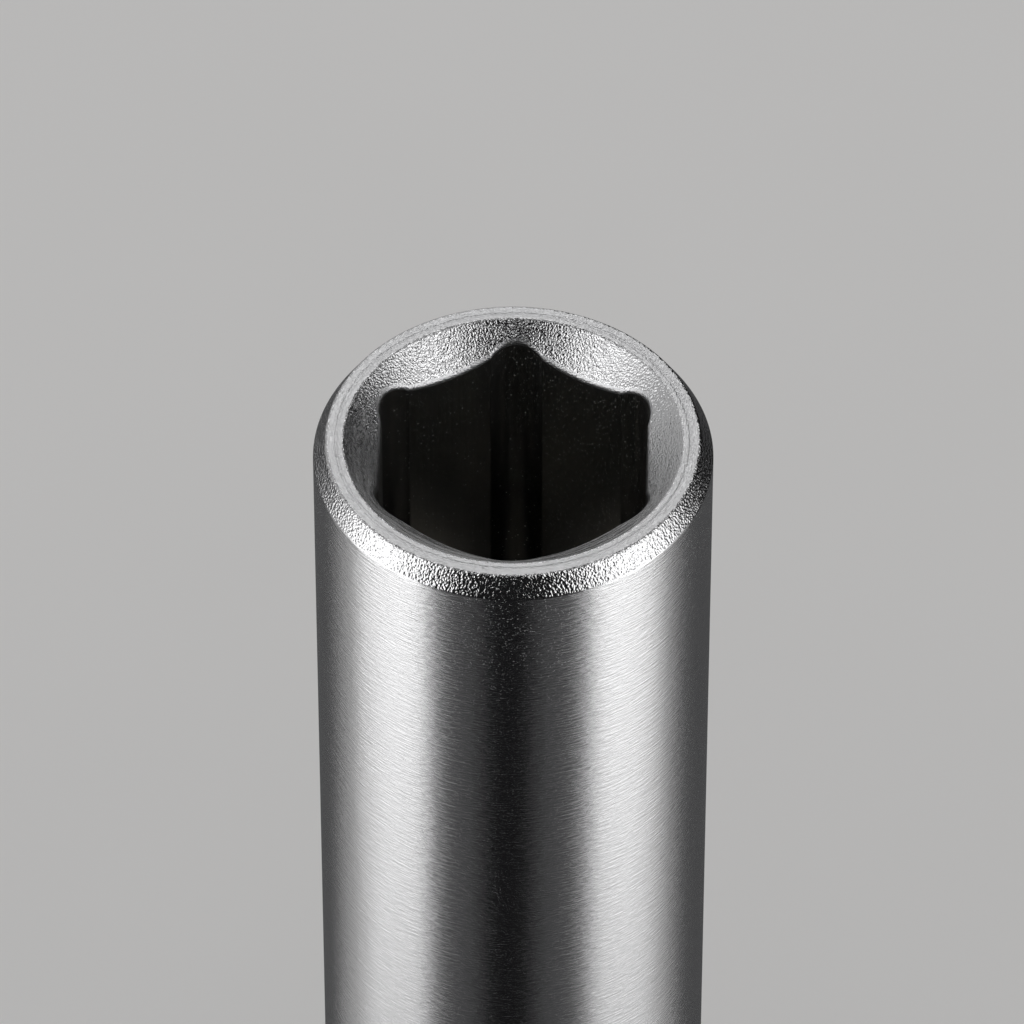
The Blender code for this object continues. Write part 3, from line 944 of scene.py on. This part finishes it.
def add_softboxes():
    """A softbox at each side, with a lit card on the floor before it, and a softbox high behind the socket.

    Only reflections see the two at the sides, because so close to the floor they would burn it out.
    """
    lit = card_finish("lit_card", "#000000", LIT_CARD_BRIGHTNESS)
    for side, azimuth, half_angle in SIDE_SOFTBOXES:
        reach = half_angle - LIT_CARD_MARGIN
        radii = (SIDE_DISTANCE, LIT_CARD_INNER)
        add_card(side + "_lit_card", lit, azimuth - reach, azimuth + reach, radii, (CARD_LIFT, CARD_LIFT))
        place = SIDE_DISTANCE * direction(math.radians(azimuth)) + Vector((0.0, 0.0, SIDE_MIDDLE))
        level = Vector((0.0, 0.0, place.z))
        width = 2 * SIDE_DISTANCE * math.tan(math.radians(half_angle))
        softbox = add_softbox(side + "_softbox", place, level, width, SIDE_HEIGHT, SIDE_BRIGHTNESS)
        softbox.visible_diffuse = False
    target = Vector((0.0, 0.0, BACK_TARGET))
    place = target + BACK_DISTANCE * direction(math.pi, BACK_ELEVATION)
    add_softbox("back_softbox", place, target, BACK_WIDTH, BACK_HEIGHT, BACK_BRIGHTNESS)


def add_dark_cards():
    """Black and charcoal cards that stand round the socket, lie on the floor and hang overhead."""
    black = card_finish("black_card", "#1E1E1F")
    charcoal = card_finish("charcoal_card", "#6A6A6B")
    standing = (
        ("front_card", black, -45, 42, 400 * MM),
        ("back_right_card", black, 98, 168, 150 * MM),
        ("back_left_card", charcoal, -150, -98, 45 * MM),
    )
    for name, finish, first, last, top in standing:
        add_card(name, finish, first, last, (CARD_RADIUS, CARD_RADIUS), (CARD_LIFT, top))
    lying = (
        ("front_floor_card", black, -16, 13),
        ("left_floor_card", charcoal, -45, -16),
        ("right_floor_card", charcoal, 13, 42),
        ("back_floor_card", charcoal, 101, 250),
    )
    for name, finish, first, last in lying:
        add_card(name, finish, first, last, (FLOOR_CARD_INNER, CARD_RADIUS), (CARD_LIFT, CARD_LIFT))
    overhead = (TOP_CARD_HEIGHT, TOP_CARD_HEIGHT)
    add_card("top_card", black, -180, 180, (TOP_CARD_INNER, TOP_CARD_RADIUS), overhead)


class StageOperator(bpy.types.Operator):
    """Adds the camera, the pale floor, the softboxes, the cards and the even light of the room"""

    bl_idname = "deep_socket.stage"
    bl_label = "Studio"

    def execute(self, context):
        add_camera()
        add_floor(context.scene.socket_colours)
        add_softboxes()
        add_dark_cards()
        world = bpy.data.worlds.new("studio")
        world.use_nodes = True
        background = world.node_tree.nodes["Background"]
        background.inputs["Color"].default_value = (*linear("#FFFFFF"), 1.0)
        background.inputs["Strength"].default_value = WORLD_BRIGHTNESS
        context.scene.world = world
        context.scene.view_settings.view_transform = "Standard"
        return {"FINISHED"}


class SocketPanel(bpy.types.Panel):
    """Lists the pieces of the socket and the studio"""

    bl_idname = "VIEW3D_PT_deep_socket"
    bl_label = "Deep Socket"
    bl_space_type = "VIEW_3D"
    bl_region_type = "UI"
    bl_category = "Socket"

    def draw(self, context):
        for operator in OPERATORS:
            self.layout.operator(operator.bl_idname)


OPERATORS = (BodyOperator, RingOperator, CupOperator, MagnetOperator, SpringOperator, StageOperator)
CLASSES = (SocketSizes, InsertSizes, FinishColours, *OPERATORS, SocketPanel)


def register():
    for cls in CLASSES:
        bpy.utils.register_class(cls)
    bpy.types.Scene.socket_sizes = bpy.props.PointerProperty(type=SocketSizes)
    bpy.types.Scene.insert_sizes = bpy.props.PointerProperty(type=InsertSizes)
    bpy.types.Scene.socket_colours = bpy.props.PointerProperty(type=FinishColours)


def unregister():
    del bpy.types.Scene.socket_colours
    del bpy.types.Scene.insert_sizes
    del bpy.types.Scene.socket_sizes
    for cls in reversed(CLASSES):
        bpy.utils.unregister_class(cls)


def main():
    register()
    bpy.ops.deep_socket.stage()
    bpy.ops.deep_socket.body()
    bpy.ops.deep_socket.ring()
    bpy.ops.deep_socket.cup()
    bpy.ops.deep_socket.magnet()
    bpy.ops.deep_socket.spring()


if __name__ == "__main__":
    main()
